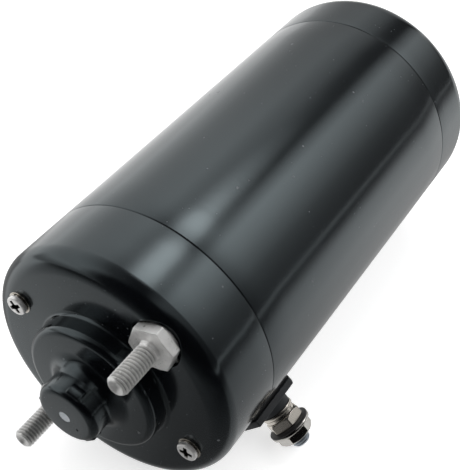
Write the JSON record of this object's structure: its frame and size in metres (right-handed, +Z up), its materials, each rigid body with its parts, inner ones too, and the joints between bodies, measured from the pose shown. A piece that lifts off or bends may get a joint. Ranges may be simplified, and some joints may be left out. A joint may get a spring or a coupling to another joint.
{
  "type": "starter motor",
  "caption": "Round-bodied permanent-magnet DC starter motor with end covers, rear bracket studs, side terminal, pilot spigot and a splined output pinion shaft.",
  "frame": {"origin": "on the shaft axis at the drive-end mounting face", "axes": "+X along the shaft towards the drive end, +Z up as the motor lies at rest, +Y to the left seen from behind"},
  "size_m": [0.2008, 0.0825, 0.0779],
  "materials": {
    "black_paint": "satin black enamel with fine dust specks",
    "ferrite": "matt sintered ferrite",
    "sintered_bronze": "oil-filled sintered bronze",
    "black_rubber": "matt",
    "seal_rubber": "moulded",
    "bearing_steel": "ground",
    "brass": "stamped",
    "zinc_steel": "matt zinc plate",
    "carbon": "copper graphite",
    "spring_steel": "drawn wire",
    "copper": "turned copper",
    "black_plastic": "moulded",
    "insulator": "moulded laminate",
    "nickel": "bright nickel plate",
    "lamination_steel": "stacked laminations",
    "winding_enamel": "enamelled copper wire",
    "phenolic": "moulded phenolic"
  },
  "bodies": {
    "housing": {"rear_cover": "black_paint", "yoke": "black_paint", "drive_cover": "black_paint", "magnets": "ferrite", "rear_bushing": "sintered_bronze", "seam_orings": "black_rubber", "pilot_oring": "black_rubber", "oil_seal": "seal_rubber", "bearing_outer_race": "bearing_steel", "bearing_retainer": "zinc_steel", "retainer_screws": "zinc_steel", "brush_plate": "zinc_steel", "brush_boxes": "brass", "brush_spring_1": "spring_steel", "brush_spring_2": "spring_steel", "brush_spring_3": "spring_steel", "brush_spring_4": "spring_steel", "terminal_strap": "copper", "terminal_bolt": "zinc_steel", "terminal_inner_bush": "black_plastic", "terminal_seat": "black_plastic", "terminal_oring": "black_rubber", "terminal_plate": "insulator", "terminal_flat_washer": "nickel", "terminal_spring_washer": "nickel", "terminal_inner_nut": "nickel", "terminal_lock_washer": "black_rubber", "terminal_flange_washer": "nickel", "terminal_outer_nut": "nickel", "through_bolts": "zinc_steel", "through_bolt_washers": "zinc_steel", "through_bolt_orings": "black_rubber", "brush_plate_screws": "nickel", "screw_spring_washers": "nickel", "screw_flat_washers": "nickel"},
    "armature": {"armature_shaft": "bearing_steel", "armature_core": "lamination_steel", "core_end_insulators": "insulator", "armature_coils": "winding_enamel", "commutator_bars": "copper", "commutator_hub": "phenolic", "thrust_washers": "bearing_steel", "bearing_inner_race": "bearing_steel"},
    "ball_cage": {"bearing_balls": "bearing_steel", "bearing_cage": "brass"},
    "carbon_brush_1": {"brush_1": "carbon"},
    "carbon_brush_2": {"brush_2": "carbon"},
    "carbon_brush_3": {"brush_3": "carbon"},
    "carbon_brush_4": {"brush_4": "carbon"}
  },
  "joints": [
    {"name": "armature_spin", "type": "hinge", "parent": "housing", "child": "armature", "pos_m": [-0.077, 0, 0], "axis": [1, 0, 0], "continuous": true},
    {"name": "ball_cage_spin", "type": "hinge", "parent": "housing", "child": "ball_cage", "pos_m": [-0.0085, 0, 0], "axis": [1, 0, 0], "continuous": true},
    {"name": "brush_slide_1", "type": "slide", "parent": "housing", "child": "carbon_brush_1", "axis": [0, 1, 0], "range_m": [0, 0.0025], "deforming": ["brush_spring_1"]},
    {"name": "brush_slide_2", "type": "slide", "parent": "housing", "child": "carbon_brush_2", "axis": [0, 0, 1], "range_m": [0, 0.0025], "deforming": ["brush_spring_2"]},
    {"name": "brush_slide_3", "type": "slide", "parent": "housing", "child": "carbon_brush_3", "axis": [0, -1, 0], "range_m": [0, 0.0025], "deforming": ["brush_spring_3"]},
    {"name": "brush_slide_4", "type": "slide", "parent": "housing", "child": "carbon_brush_4", "axis": [0, 0, -1], "range_m": [0, 0.0025], "deforming": ["brush_spring_4"]}
  ],
  "couplings": [
    {"joint": "ball_cage_spin", "follows": "armature_spin", "ratio": 0.38}
  ]
}
